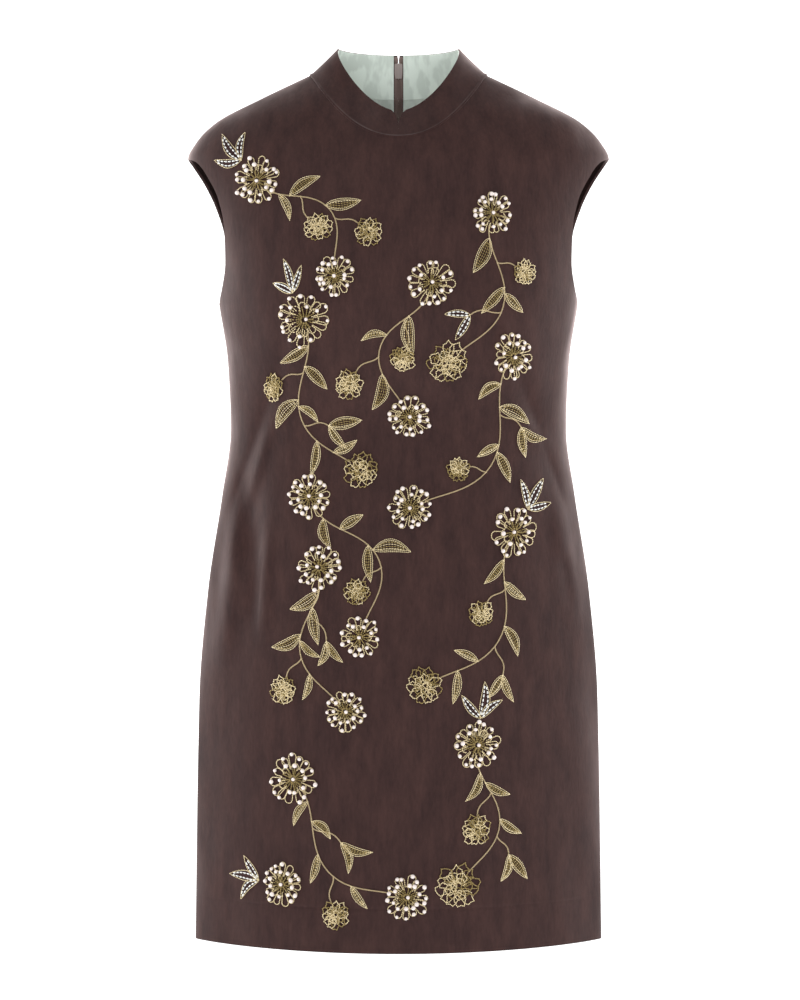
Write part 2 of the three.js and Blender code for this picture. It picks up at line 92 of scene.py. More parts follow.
COLLAR_HALF_WIDTH = 64.5
COLLAR_FRONT = 60
COLLAR_BACK = 61
COLLAR_BACK_TOP = 30.5
COLLAR_FRONT_RISE = 74.5
COLLAR_RISE_ENDS = math.radians(105)
COLLAR_RISE_CURVE = 1.8
NOTCH_STARTS = 0.45
NOTCH_HALF_WIDTH = 5

# Level sections: z, half width, depth of the front and of the back, how flat the middle
# is, and how the sides turn (0.5 an ellipse, 1 a pointed lens).
SECTIONS = np.array([
    [10, 72, 30, 47, 2.2, 0.5],
    [0, NECK_HALF_WIDTH, 38, 58, 2.2, 0.5],
    [-25, 145, 58, 86, 2.2, 0.5],
    [-50, 192, 75, 96, 2.2, 0.5],
    [-70, 212, 87, 100, 2.2, 0.5],
    [CAP_TIP_Z, CAP_TIP_X, 97, 102, 2.2, 0.5],
    [-130, 208, 108, 105, 2.25, 0.5],
    [-185, 195, 120, 103, 2.45, 0.5],
    [UNDERARM_Z, UNDERARM_HALF_WIDTH, 126, 96, 2.6, 0.5],
    [-300, 179, 116, 88, 2.5, 0.56],
    [-370, 176, 96, 82, 2.2, 0.63],
    [-440, 185, 99, 93, 2.15, 0.7],
    [-540, 200, 106, 109, 2.1, 0.76],
    [-650, 209, 111, 109, 2, 0.8],
    [HEM_Z, 213, 113, 100, 2, 0.85],
])
WIDTH, FRONT_DEPTH, BACK_DEPTH, SQUARE, EDGE = range(1, 6)

# Armhole edges: z, and the distance from the middle on the front and on the back.
ARMHOLES = np.array([
    [CAP_TIP_Z, CAP_TIP_X, CAP_TIP_X],
    [-95, 209, 216],
    [-112, 197, 205],
    [-135, 186, 194],
    [-165, 180, 185],
    [-200, 179, 182],
    [-225, 183, 184],
    [UNDERARM_Z, UNDERARM_HALF_WIDTH, UNDERARM_HALF_WIDTH],
])

# Soft folds: from x, z to x, z, then half width and height (below zero is a trough).
FRONT_FOLDS = [
    (112, -285, 182, -480, 14, -3),       # bust darts
    (-112, -285, -182, -480, 14, -3),
    (-152, -420, -158, -520, 13, -8),     # hip, wearer's right
    (-166, -440, -186, -620, 13, 7),
    (166, -430, 184, -570, 13, 6),        # hip, wearer's left
    (-104, -215, -106, -300, 4.2, 3.6),     # bust, wearer's right
    (-91, -195, -93, -290, 4, -3.0),
    (88, -145, 98, -195, 4.5, 3.0),         # chest, wearer's left
    (86, -235, 112, -285, 4.5, 3.4),
    (98, -255, 108, -305, 4, -3.0),
    (-132, -365, -158, -455, 5.5, 4.0),     # waist, wearer's right
    (-145, -470, -150, -575, 7, -3.4),
    (-134, -465, -139, -590, 5, 3.2),
    (170, -500, 180, -560, 7, -3.6),      # waist, wearer's left
    (120, -355, 160, -398, 9, 3.4),
    (116, -292, 180, -468, 3.5, -1.6),    # stitched lines of the bust darts
    (-116, -292, -180, -468, 3.5, -1.6),
    (-60, -640, -74, -860, 26, 2.2),      # long soft waves of the skirt
    (70, -600, 88, -880, 28, 2.0),
    (8, -690, 4, -890, 22, -1.8),
]
BACK_FOLDS = [
    (-128, -372, -34, -392, 16, 5),       # across the small of the back
    (30, -398, 132, -376, 16, 5),
    (-120, -410, -40, -424, 9, -2.0),
    (44, -352, 118, -344, 9, 2.2),
    (-96, -120, -110, -230, 12, 2.0),     # shoulder blades
    (102, -130, 112, -240, 12, 1.8),
    (-90, -560, -104, -850, 26, 2.4),
    (84, -540, 92, -870, 28, 2.0),
]


# ------------------------------------------------------------------ curves

def gentle_slope(before, after):
    """Slope at a row that keeps the curve from overshooting its neighbours."""
    same = before * after > 0
    total = np.where(same, before + after, 1)
    return np.where(same, 2 * before * after / total, 0)


def through(rows, column):
    """A smooth function of z through one column of a table whose rows run downwards."""
    heights = rows[::-1, 0]
    values = rows[::-1, column]
    steps = np.diff(values) / np.diff(heights)
    inner = gentle_slope(steps[:-1], steps[1:])
    slopes = np.concatenate([steps[:1], inner, steps[-1:]])

    def curve(z):
        z = np.clip(z, heights[0], heights[-1])
        i = np.clip(np.searchsorted(heights, z) - 1, 0, len(heights) - 2)
        span = heights[i + 1] - heights[i]
        t = (z - heights[i]) / span
        start = (1 + 2 * t) * (1 - t) ** 2 * values[i] + t * (1 - t) ** 2 * span * slopes[i]
        end = t ** 2 * (3 - 2 * t) * values[i + 1] + t ** 2 * (t - 1) * span * slopes[i + 1]
        return start + end

    return curve


def softened(curve, reach=14):
    """The same curve averaged over a short height, so that no row shows as a band."""
    offsets = np.linspace(-reach, reach, 7)
    return lambda z: np.mean([curve(z + offset) for offset in offsets], axis=0)


def smooth(a, b, value):
    """Smooth step from 0 at a to 1 at b."""
    t = np.clip((value - a) / (b - a), 0, 1)
    return t * t * (3 - 2 * t)


half_width = through(SECTIONS, WIDTH)
front_depth = softened(through(SECTIONS, FRONT_DEPTH))
back_depth = softened(through(SECTIONS, BACK_DEPTH))
squareness = softened(through(SECTIONS, SQUARE))
edge_turn = softened(through(SECTIONS, EDGE))
armhole_front = through(ARMHOLES, 1)
armhole_back = through(ARMHOLES, 2)


# ------------------------------------------------------------------ surface of the body

def fold_height(face, x, z):
    """How far the folds lift the cloth at a place."""
    total = np.zeros(np.broadcast(x, z).shape)
    for from_x, from_z, to_x, to_z, width, height in FRONT_FOLDS if face < 0 else BACK_FOLDS:
        run_x = to_x - from_x
        run_z = to_z - from_z
        length = math.hypot(run_x, run_z)
        along = ((x - from_x) * run_x + (z - from_z) * run_z) / length ** 2
        away = ((x - from_x) * run_z - (z - from_z) * run_x) / length
        taper = smooth(-0.12, 0.3, along) * (1 - smooth(0.7, 1.12, along))
        total += height * taper * np.exp(-((away / width) ** 2))
    return total


def depth_of(face, z):
    return front_depth(z) if face < 0 else back_depth(z)


def stand_off(face, x, z):
    """How far the face stands in front of (or behind) the side seams."""
    across = np.clip(np.abs(x) / half_width(z), 0, 1)
    rise = (1 - across ** squareness(z)) ** edge_turn(z)
    hem_line = np.exp(-(((z - HEM_Z - HEM_DEPTH) / HEM_LINE_WIDTH) ** 2))
    folds = fold_height(face, x, z) - HEM_LINE_DENT * hem_line
    return depth_of(face, z) * rise + folds * smooth(0, 0.35, rise)


def body_point(face, x, z):
    """A point of the outer surface; face is -1 for the front and 1 for the back."""
    y = face * (SEAM_OPEN / 2 + stand_off(face, x, z))
    return np.stack(np.broadcast_arrays(x, y, z), axis=-1).astype(float)


def body_level(face, x, y, z):
    """Zero on the body's outer surface and more than zero outside it."""
    depth = depth_of(face, z)
    stand = np.abs(face * y - SEAM_OPEN / 2)
    fold = fold_height(face, x, z) * smooth(0, 0.35, stand / depth)
    rise = np.maximum(stand - fold, 1e-9) / depth
    return rise ** (1 / edge_turn(z)) + (np.abs(x) / half_width(z)) ** squareness(z) - 1


def unit(vectors):
    lengths = np.linalg.norm(vectors, axis=-1, keepdims=True)
    return vectors / np.maximum(lengths, 1e-12)


def body_normal(face, x, z):
    x, z = np.broadcast_arrays(np.asarray(x, float), np.asarray(z, float))
    y = body_point(face, x, z)[..., 1]
    step = 0.05
    return unit(np.stack([
        body_level(face, x + step, y, z) - body_level(face, x - step, y, z),
        body_level(face, x, y + step, z) - body_level(face, x, y - step, z),
        body_level(face, x, y, z + step) - body_level(face, x, y, z - step),
    ], axis=-1))


def neck_height(face, x):
    """Height of the neck seam above a place x."""
    drop = FRONT_NECK_DROP if face < 0 else BACK_NECK_DROP
    across = np.clip(np.abs(x) / NECK_HALF_WIDTH, 0, 1)
    return -drop * (1 - across ** NECK_ROUNDNESS)


def shoulder_height(x):
    heights = np.linspace(0, CAP_TIP_Z, 2000)
    return np.interp(x, half_width(heights), heights)


def side_edge(face, z):
    """Distance from the middle to the side seam, or to the armhole above it."""
    armhole = armhole_front(z) if face < 0 else armhole_back(z)
    return np.where(z < UNDERARM_Z, half_width(z), armhole)


def panel_place(face, column, row_height, start_x=0.0):
    """Where a row and a column of a panel cross, as x and z."""
    top_x = np.abs(column) * CAP_TIP_X
    on_neck = top_x < NECK_HALF_WIDTH + 1e-6
    top_z = np.where(on_neck, neck_height(face, top_x), shoulder_height(top_x))
    drop = FRONT_NECK_DROP if face < 0 else BACK_NECK_DROP
    fallen = (CAP_TIP_Z - row_height) / (CAP_TIP_Z - HEM_Z)
    middle_z = -drop + fallen * (HEM_Z + drop)
    level_z = middle_z + (row_height - middle_z) * np.abs(column)
    top_level = -drop + (CAP_TIP_Z + drop) * np.abs(column)
    fade = 1 - np.clip((CAP_TIP_Z - row_height) / (CAP_TIP_Z - UNDERARM_Z), 0, 1)
    z = level_z + (top_z - top_level) * fade
    x = column * side_edge(face, row_height)
    x = x + start_x * (1 - np.abs(column))
    return np.broadcast_arrays(x, z)


# ------------------------------------------------------------------ surface of the collar

def collar_top(turn):
    climb = np.sin(np.minimum(np.abs(turn) / COLLAR_RISE_ENDS, 1) * math.pi / 2)
    depth = np.where(turn < math.pi / 2, COLLAR_FRONT, COLLAR_BACK)
    return np.stack([
        COLLAR_HALF_WIDTH * np.sin(turn),
        -depth * np.cos(turn),
        COLLAR_BACK_TOP - COLLAR_FRONT_RISE * (1 - climb ** COLLAR_RISE_CURVE),
    ], axis=-1)


def collar_base(turn):
    x = NECK_HALF_WIDTH * np.sin(turn)
    front = np.asarray(turn) < math.pi / 2
    z = np.where(front, neck_height(-1, x), neck_height(1, x))
    y = np.where(front, -stand_off(-1, x, z), stand_off(1, x, z))
    return np.stack([x, y, z], axis=-1)


def collar_point(turn, height):
    turn, height = np.broadcast_arrays(turn, height)
    base = collar_base(turn)
    return base + (collar_top(turn) - base) * height[..., None]


def collar_normal(turn, height):
    step = 0.01
    around = collar_point(turn + step, height) - collar_point(turn - step, height)
    up = collar_top(turn) - collar_base(turn)
    return unit(np.cross(around, up))


def neck_seam_normal(face, x):
    """Between the body's normal and the collar's, so that their layers meet."""
    to_side = np.arcsin(np.clip(np.abs(x) / NECK_HALF_WIDTH, 0, 1))
    turn = np.clip(to_side if face < 0 else math.pi - to_side, 0.02, math.pi - 0.02)
    shared = body_normal(face, np.abs(x), neck_height(face, x))
    shared = shared + collar_normal(turn, np.zeros_like(turn))
    shared[..., 1] = np.where(to_side > math.pi / 2 - 1e-3, 0, shared[..., 1])
    shared[..., 0] = np.where(np.abs(x) < 0.5, 0, shared[..., 0] * np.sign(x))
    return unit(shared)


def turn_at(distance, height, at_back):
    """The collar's turn at which it is a distance from the middle."""
    radius = NECK_HALF_WIDTH + (COLLAR_HALF_WIDTH - NECK_HALF_WIDTH) * height
    turn = np.arcsin(np.clip(distance / radius, 0, 1))
    return math.pi - turn if at_back else turn


def back_half_gap(height):
    opened = smooth(ZIP_OPEN_FROM, ZIP_OPEN_FULLY, height)
    return SEAM_OPEN / 2 + (ZIP_OPEN_HALF_GAP - SEAM_OPEN / 2) * opened


def notch_half_gap(height):
    opened = smooth(NOTCH_STARTS, 1.35, height) * 1.5
    return SEAM_OPEN / 2 + NOTCH_HALF_WIDTH * opened + 2.5 * smooth(0.9, 1, height)


# ------------------------------------------------------------------ meshes

def mesh_object(name, points, faces, material, body="dress", uvs=None, sharp_edges=False):
    """A smooth mesh from points in millimetres, riding on a body of the frame."""
    mesh = bpy.data.meshes.new(name)
    mesh.from_pydata((np.asarray(points) * MM).tolist(), [], faces)
    mesh.polygons.foreach_set("use_smooth", [True] * len(mesh.polygons))
    if uvs is not None:
        layer = mesh.uv_layers.new(name="cloth")
        corners = np.empty(len(mesh.loops), dtype=np.int64)
        mesh.loops.foreach_get("vertex_index", corners)
        layer.data.foreach_set("uv", np.asarray(uvs)[corners].astype(np.float32).ravel())
    mesh.materials.append(material)
    mesh.update()
    if sharp_edges:
        mesh.set_sharp_from_angle(angle=math.radians(50))
    thing = bpy.data.objects.new(name, mesh)
    bpy.context.scene.collection.objects.link(thing)
    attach(thing, body)
    return thing


def cloth_shell(name, points, normals, inset, thickness, material, flip=False):
    """A thin closed shell under a grid of surface points."""
    rows, columns = points.shape[:2]
    outer = points - normals * inset
    inner = points - normals * (inset + thickness)
    all_points = np.concatenate([outer.reshape(-1, 3), inner.reshape(-1, 3)])
    layer = rows * columns
    at = np.arange(layer).reshape(rows, columns)
    a, b = at[:-1, :-1].ravel(), at[:-1, 1:].ravel()
    c, d = at[1:, 1:].ravel(), at[1:, :-1].ravel()
    faces = [np.stack([a, b, c, d], 1), np.stack([d, c, b, a], 1) + layer]
    ring = np.concatenate([at[0, :-1], at[:-1, -1], at[-1, :0:-1], at[:0:-1, 0]])
    following = np.roll(ring, -1)
    faces.append(np.stack([following, ring, ring + layer, following + layer], 1))
    faces = np.concatenate(faces)
    if flip:
        faces = faces[:, ::-1]
    across = np.linalg.norm(np.diff(points, axis=1), axis=2).cumsum(1)
    down = np.linalg.norm(np.diff(points, axis=0), axis=2).cumsum(0)
    u = np.pad(across, ((0, 0), (1, 0)))
    v = np.pad(down, ((1, 0), (0, 0)))
    uvs = np.stack([u - u.mean(1, keepdims=True), -v], axis=-1).reshape(-1, 2) * MM
    uvs = np.tile(uvs, (2, 1))
    return mesh_object(name, all_points, faces.tolist(), material, uvs=uvs, sharp_edges=True)


def eased(start, end, count):
    """Places from start to end that crowd together towards the end."""
    return start + (end - start) * np.sin(np.linspace(0, math.pi / 2, count))


def panel_columns():
    neck = np.linspace(0, 1, 26) * NECK_HALF_WIDTH / CAP_TIP_X
    side = eased(NECK_HALF_WIDTH / CAP_TIP_X, 1, 34)
    return np.concatenate([neck, side[1:]])


def armhole_rows(count):
    steps = np.linspace(0, 1, count) ** ARMHOLE_CROWDING
    return CAP_TIP_Z + (UNDERARM_Z - CAP_TIP_Z) * steps


def panel_rows():
    armhole = armhole_rows(44)
    skirt = np.linspace(UNDERARM_Z, HEM_Z, 112)
    hem_line = HEM_Z + HEM_DEPTH + np.array([-3.2, -1.6, -0.8, 0, 0.8, 1.6, 3.2])
    return np.unique(np.concatenate([armhole, skirt, hem_line]))[::-1]


def grid_on_panel(face, hand, columns, rows, start_x=0.0):
    x, z = panel_place(face, columns[None, :], rows[:, None], start_x)
    points = body_point(face, hand * x, z)
    below_seam = neck_height(face, x) - z
    in_middle = 1 - smooth(SEAM_BLEND, NECK_HALF_WIDTH, np.abs(x))
    share = (1 - smooth(0, 12, below_seam)) * in_middle
    shared = neck_seam_normal(face, hand * x)
    plain = body_normal(face, hand * x, z)
    return points, unit(plain + (shared - plain) * share[..., None])


def front_panel(material):
    half = panel_columns()
    columns = np.concatenate([-half[:0:-1], half])
    points, normals = grid_on_panel(-1, 1, columns, panel_rows())
    return cloth_shell("front_cloth", points, normals, 0, VELVET, material, flip=True)


def back_panel(side, hand, material):
    points, normals = grid_on_panel(1, hand, panel_columns(), panel_rows(), SEAM_OPEN / 2)
    name = f"back_cloth_{side}"
    return cloth_shell(name, points, normals, 0, VELVET, material, flip=hand < 0)


def collar_half(name, hand, inset, thickness, back_edge, material):
    heights = 0.5 - 0.5 * np.cos(np.linspace(0, math.pi, 34))
    share = np.linspace(0, 1, 96)
    first = turn_at(notch_half_gap(heights), heights, False)[:, None]
    last = turn_at(back_edge(heights), heights, True)[:, None]
    turns = first + (last - first) * share[None, :]
    heights = np.broadcast_to(heights[:, None], turns.shape).copy()
    points = collar_point(turns, heights)
    normals = collar_normal(turns, heights)
    seam_x = NECK_HALF_WIDTH * np.sin(turns)
    at_front = (turns < math.pi / 2)[..., None]
    shared = np.where(at_front, neck_seam_normal(-1, seam_x), neck_seam_normal(1, seam_x))
    in_middle = 1 - smooth(SEAM_BLEND, NECK_HALF_WIDTH, seam_x)
    share = (1 - smooth(0, 0.25, heights)) * in_middle
    normals = unit(normals + (shared - normals) * share[..., None])
    if inset == 0:
        beside_seam = (heights - SEAM_ROLL_AT) / SEAM_ROLL_AT
        points += normals * (SEAM_ROLL * np.exp(-(beside_seam ** 2)))[..., None]
    points[..., 0] *= hand
    normals[..., 0] *= hand
    return cloth_shell(name, points, normals, inset, thickness, material, flip=hand < 0)


def neck_lining(side, hand, material):
    columns = np.linspace(LINING_FROM, NECK_LINING_TO, 36) / CAP_TIP_X
    rows = np.linspace(CAP_TIP_Z - 0.1, NECK_LINING_ROW, 20)
    points, normals = grid_on_panel(1, hand, columns, rows, SEAM_OPEN / 2)
    name = f"neck_lining_cloth_{side}"
    return cloth_shell(name, points, normals, FIRST_LAYER, LINING, material, flip=hand < 0)


def armhole_facing(face, side, hand, material):
    columns = np.linspace(FACING_FROM, 1, 12)
    rows = armhole_rows(48)
    start_x = 0.0 if face < 0 else SEAM_OPEN / 2
    points, normals = grid_on_panel(face, hand, columns, rows, start_x)
    where = "front" if face < 0 else "back"
    name = f"facing_cloth_{where}_{side}"
    flip = (hand < 0) == (face > 0)
    return cloth_shell(name, points, normals, FIRST_LAYER, LINING, material, flip=flip)


# ------------------------------------------------------------------ zip

def zip_line(last_row, from_height=0.97):
    """Points and normals down the centre back, and how high each is on the collar."""
    heights = np.linspace(from_height, 0, 14)
    top = collar_point(np.full(14, math.pi - 1e-4), heights)
    top_normal = collar_normal(np.full(14, math.pi - 1e-4), heights)
    z = np.linspace(neck_height(1, 0) - 4, last_row, 120)
    low = body_point(1, np.zeros(120), z)
    low_normal = body_normal(1, np.zeros(120), z)
    points = np.concatenate([top, low])
    normals = np.concatenate([top_normal, low_normal])
    points[:, 0] = 0
    normals[:, 0] = 0
    on_collar = np.concatenate([heights, np.zeros(120)])
    return points, unit(normals), on_collar


def centre_back_z(row_height):
    return float(panel_place(1, np.array(0.0), np.array(float(row_height)))[1])


def zip_tape(side, hand, material):
    points, normals, height = zip_line(centre_back_z(TAPE_LAST_ROW))
    start = back_half_gap(height)
    share = np.linspace(0, 1, 5)[None, :]
    x = hand * (start[:, None] + (TAPE_HALF_WIDTH - start[:, None]) * share)
    grid = np.repeat(points[:, None, :], 5, axis=1)
    grid[..., 0] = x
    grid_normals = np.repeat(normals[:, None, :], 5, axis=1)
    name = f"zip_tape_cloth_{side}"
    return cloth_shell(name, grid, grid_normals, FIRST_LAYER, TAPE, material, flip=hand < 0)


def along_line(points, pitch):
    """Even steps along a line of points: fractional places of each step."""
    lengths = np.linalg.norm(np.diff(points, axis=0), axis=1)
    total = np.concatenate([[0], lengths.cumsum()])
    steps = np.arange(0, total[-1], pitch)
    return np.interp(steps, total, np.arange(len(points)))


def sampled(values, places):
    whole = np.clip(places.astype(int), 0, len(values) - 2)
    share = (places - whole)[:, None]
    return values[whole] * (1 - share) + values[whole + 1] * share


def zip_teeth(material):
    """The closed coil below the slider, as one rounded bar for each of its turns."""
    points, normals, _ = zip_line(centre_back_z(COIL_LAST_ROW), 0.42)
    places = along_line(points, 1.5)
    centres = sampled(points, places)
    outward = unit(sampled(normals, places))
    centres = centres - outward * (COIL_LAYER + 0.75)
    across = np.tile([1.0, 0, 0], (len(centres), 1))
    shape = bead_shape(6, [(-2.2, 0.3), (-1.9, 0.52), (1.9, 0.52), (2.2, 0.3)])
    return instanced("zip_coil_turns", shape, centres, across, outward, material)


def folded_tape_ends(material):
    """The tapes' ends, turned in and rolled at the top of the opening."""
    heights = np.array([0.9, 0.9])
    turns = np.full(2, math.pi - 1e-4)
    normals = collar_normal(turns, heights)
    centres = collar_point(turns, heights) - normals * (FIRST_LAYER + 1.2)
    centres[:, 0] = (-2.5, 2.5)
    up = collar_top(math.pi) - collar_base(math.pi)
    profile = [(-3.8, 0.9), (-3.0, 1.8), (0, 2.2), (2.4, 2.1), (3.5, 1.3), (3.9, 0.5)]
    axes = np.tile(up, (2, 1)) + np.array([[-4.0, 0, 0], [4.0, 0, 0]])
    return instanced("zip_tape_ends", bead_shape(12, profile), centres, axes, normals, material)


# ------------------------------------------------------------------ beads

def bead_shape(sides, profile):
    """A bead turned about its x axis, from (distance along, radius) pairs."""
    angles = np.arange(sides) * 2 * math.pi / sides
    rings = [
        np.stack([np.full(sides, along), radius * np.cos(angles), radius * np.sin(angles)], 1)
        for along, radius in profile
    ]
    points = np.concatenate(rings)
    faces = []
    for ring in range(len(profile) - 1):
        for i in range(sides):
            j = (i + 1) % sides
            faces.append([ring * sides + i, ring * sides + j, (ring + 1) * sides + j])
            faces.append([ring * sides + i, (ring + 1) * sides + j, (ring + 1) * sides + i])
    for i in range(1, sides - 1):
        last = (len(profile) - 1) * sides
        faces.append([0, i + 1, i])
        faces.append([last, last + i, last + i + 1])
    return points, np.array(faces)


def instanced(name, shape, centres, axes, normals, material, scales=None):
    """One joined mesh of a shape repeated at many places."""
    base, faces = shape
    axes = unit(axes)
    sideways = unit(np.cross(normals, axes))
    upward = np.cross(axes, sideways)
    frames = np.stack([axes, sideways, upward], axis=1)
    if scales is None:
        scales = np.ones((len(centres), 3))
    local = base[None] * scales[:, None, :]
    points = np.einsum("nij,njk->nik", local, frames) + centres[:, None, :]
    offsets = (np.arange(len(centres)) * len(base))[:, None, None]
    all_faces = (faces[None] + offsets).reshape(-1, 3)
    return mesh_object(name, points.reshape(-1, 3), all_faces.tolist(), material)


SEED_BEAD = bead_shape(6, [(-0.5, 0.34), (0, 0.5), (0.5, 0.34)])
PEARL = bead_shape(8, [
    (0.5 * math.cos(a), 0.5 * math.sin(a)) for a in np.linspace(math.pi - 0.3, 0.3, 6)
])


class Beads:
    """Beads of one kind: place on the garment, direction, length, thickness, height."""

    def __init__(self):
        self.rows = []

    def add(self, spot, a, b, da, db, length, thickness, height):
        """spot is (x, z, scale across); a and b are millimetres from it on the cloth."""
        x, z, squeeze = spot
        self.rows.append((x + a * squeeze, z + b, da * squeeze, db, length, thickness, height))

    def build(self, name, shape, material):
        table = np.array(self.rows)
        x, z, dx, dz, length, thickness, height = table.T
        at = body_point(-1, x, z)
        ahead = body_point(-1, x + dx * 0.5, z + dz * 0.5)
        normals = body_normal(-1, x, z)
        centres = at + normals * height[:, None]
        scales = np.stack([length, thickness, thickness], 1)
        return instanced(name, shape, centres, ahead - at, normals, material, scales)


def spot_at(x, z):
    """A place on the front, with how much the cloth's slope narrows it as seen."""
    normal = body_normal(-1, np.array(float(x)), np.array(float(z)))
    return x, z, math.sqrt(max(1 - normal[0] ** 2, 0.15))


def bead_path(beads, spot, points, pitch, length, thickness, height):
    """Beads end to end along a path of (a, b) points."""
    points = np.asarray(points, float)
    places = along_line(points, pitch)
    centres = sampled(points, places)
    ahead = sampled(points, np.minimum(places + 0.05, len(points) - 1.001))
    behind = sampled(points, np.maximum(places - 0.05, 0))
    ways = unit(ahead - behind)
    for (a, b), (da, db) in zip(centres, ways):
        beads.add(spot, a, b, da, db, length, thickness, height)


def turned(points, angle):
    """Points with their first axis turned to an angle."""
    c, s = math.cos(angle), math.sin(angle)
    return np.asarray(points) @ np.array([[c, s], [-s, c]])


# ------------------------------------------------------------------ flowers and leaves

def petal_loop(inner, outer, half_angle):
    """A narrow loop that leaves the middle, turns round at the tip and comes back."""
    tip = outer * math.tan(half_angle)
    arc = np.linspace(-math.pi / 2, math.pi / 2, 7)
    return [
        (inner, -inner * math.tan(half_angle)),
        *[(outer + tip * math.cos(t), tip * math.sin(t)) for t in arc],
        (inner, inner * math.tan(half_angle)),
    ]


def pearl_flower(kinds, spot, radius, random):
    """Open loops of bugle beads, olive inside and pale outside, with pearls at their tips."""
    for petals, share, lift in ((15, 1.0, 0.9), (10, 0.6, 2.3)):
        start = random.uniform(0, 2 * math.pi)
        for i in range(petals):
            angle = start + (i + random.uniform(-0.3, 0.3)) * 2 * math.pi / petals
            reach = radius * share * random.uniform(0.72, 0.88)
            spread = random.uniform(0.74, 1.0) * math.pi / petals
            change = radius * random.uniform(0.34, 0.5)
            tip = turned(petal_loop(change, reach, spread), angle)
            bead_path(kinds["pale"], spot, tip, 2.1, 1.95, 1.35, lift)
            root = [(radius * 0.14, 0), (change, 0)]
            bead_path(kinds["olive"], spot, turned(root, angle), 2.1, 1.95, 1.4, lift)
            out = reach + radius * 0.1 * random.uniform(0.5, 1.4)
            size = random.uniform(3.6, 5.0)
            a, b = turned([(out, 0)], angle)[0]
            if random.random() < 0.84:
                kinds["pearl"].add(spot, a, b, -b, a, size, size, lift + size * 0.3)
    for angle in np.arange(7) * 2 * math.pi / 7:
        a, b = turned([(radius * 0.13, 0)], angle)[0]
        kinds["olive"].add(spot, a, b, a, b, 2.4, 1.5, 2.4)
    kinds["pearl"].add(spot, random.uniform(-1.5, 1.5), random.uniform(-1, 1), 1, 0, 4, 4, 3.6)


def gold_flower(kinds, spot, radius, random):
    """Ruffled, crumpled loops of gold beads, large outside and small inside."""
    for count, reach, width in ((12, 1.0, 0.26), (9, 0.66, 0.24), (4, 0.34, 0.2)):
        start = random.uniform(0, 2 * math.pi)
        for i in range(count):
            angle = start + (i + random.uniform(-0.25, 0.25)) * 2 * math.pi / count
            t = np.linspace(0, 2 * math.pi, 13)
            long = radius * reach * random.uniform(0.28, 0.4)
            middle = radius * reach * random.uniform(0.86, 1.05) - long
            ruffle = 1 + 0.16 * np.sin(5 * t + angle)
            loop = np.stack([middle + long * np.cos(t) * ruffle,
                             radius * width * np.sin(t) * ruffle], 1)
            kind = "pale" if random.random() < 0.6 else "olive"
            lift = random.uniform(0.8, 2.2)
            bead_path(kinds[kind], spot, turned(loop, angle), 1.8, 1.6, 1.4, lift)


def leaf(kinds, spot, angle, length, width, silver, random):
    """A lance-shaped leaf: gold rows in a doubled edge, or silver sequins in a single one."""
    t = np.linspace(0, 1, 15)
    half = width / 2 * np.sin(math.pi * t ** 0.85) ** 0.8
    bend = length * random.uniform(-0.16, 0.16) * np.sin(math.pi * t)
    for inset in (0.0,) if silver else (0.0, 1.7):
        side = np.maximum(half - inset, 0)
        edge = np.stack([np.r_[t, t[::-1]] * length, np.r_[bend + side, (bend - side)[::-1]]], 1)
        bead_path(kinds["pale"], spot, turned(edge, angle), 2.0, 1.85, 1.0, 0.7)
    inner = slice(2, -2)
    for lane in (-0.5, 0.5) if silver else (-0.5, -0.17, 0.17, 0.5):
        row = np.stack([t[inner] * length, bend[inner] + lane * half[inner]], 1)
        if silver:
            bead_path(kinds["silver"], spot, turned(row, angle), 4.4, 3.2, 1.9, 0.8)
        else:
            kind = "pale" if random.random() < 0.25 else "olive"
            bead_path(kinds[kind], spot, turned(row, angle), 2.9, 2.4, 1.1, 0.7)


def stem(kinds, spot, points):
    """A twisted cord: short slanting turns laid close together."""
    points = np.asarray(points, float)
    places = along_line(points, 1.25)
    centres = sampled(points, places)
    ways = unit(sampled(points, np.minimum(places + 0.05, len(points) - 1.001)) - centres)
    for (a, b), (da, db) in zip(centres, ways):
        kinds["cord"].add(spot, a, b, da + 0.8 * db, db - 0.8 * da, 1.9, 1.05, 0.6)


# Layout of the vines: they start at either side by turns and wander down and inwards.
VINE_COUNT = 21
FIRST_VINE_Z = -118
VINE_PITCH = 36
VINE_LENGTH = 170
GOLDEN_SHARE = 0.618
EDGE_SHARE = 0.92               # of the half width that beading may reach
HEM_MARGIN = 14
NECK_MARGIN = 16
ARMHOLE_MARGIN = 8
ARMHOLE_REACH = 150             # how far above the underarm the armhole keeps beading off
FLOWER_ROOM = 2                 # kept clear round a flower
STEM_ROOM = 0.5                 # and at each point of a stem


def vine_starts():
    """x, z, heading and curl in degrees, and length of each vine."""
    starts = []
    for k in range(VINE_COUNT):
        side = 1 if k % 2 else -1
        share = (k * GOLDEN_SHARE) % 1
        z = FIRST_VINE_Z - VINE_PITCH * k
        x = side * (0.68 - 0.34 * share) * float(half_width(z))
        length = VINE_LENGTH * (0.82 + 0.36 * ((k * 0.382) % 1))
        steepest = math.degrees(math.asin(min(1, max(0.1, (z - HEM_Z - 55) / length))))
        fall = min(52 + 34 * share, steepest)
        heading = -fall if side < 0 else fall - 180
        starts.append((x, z, heading, side * (38 if k % 3 else -46), length))
    return starts


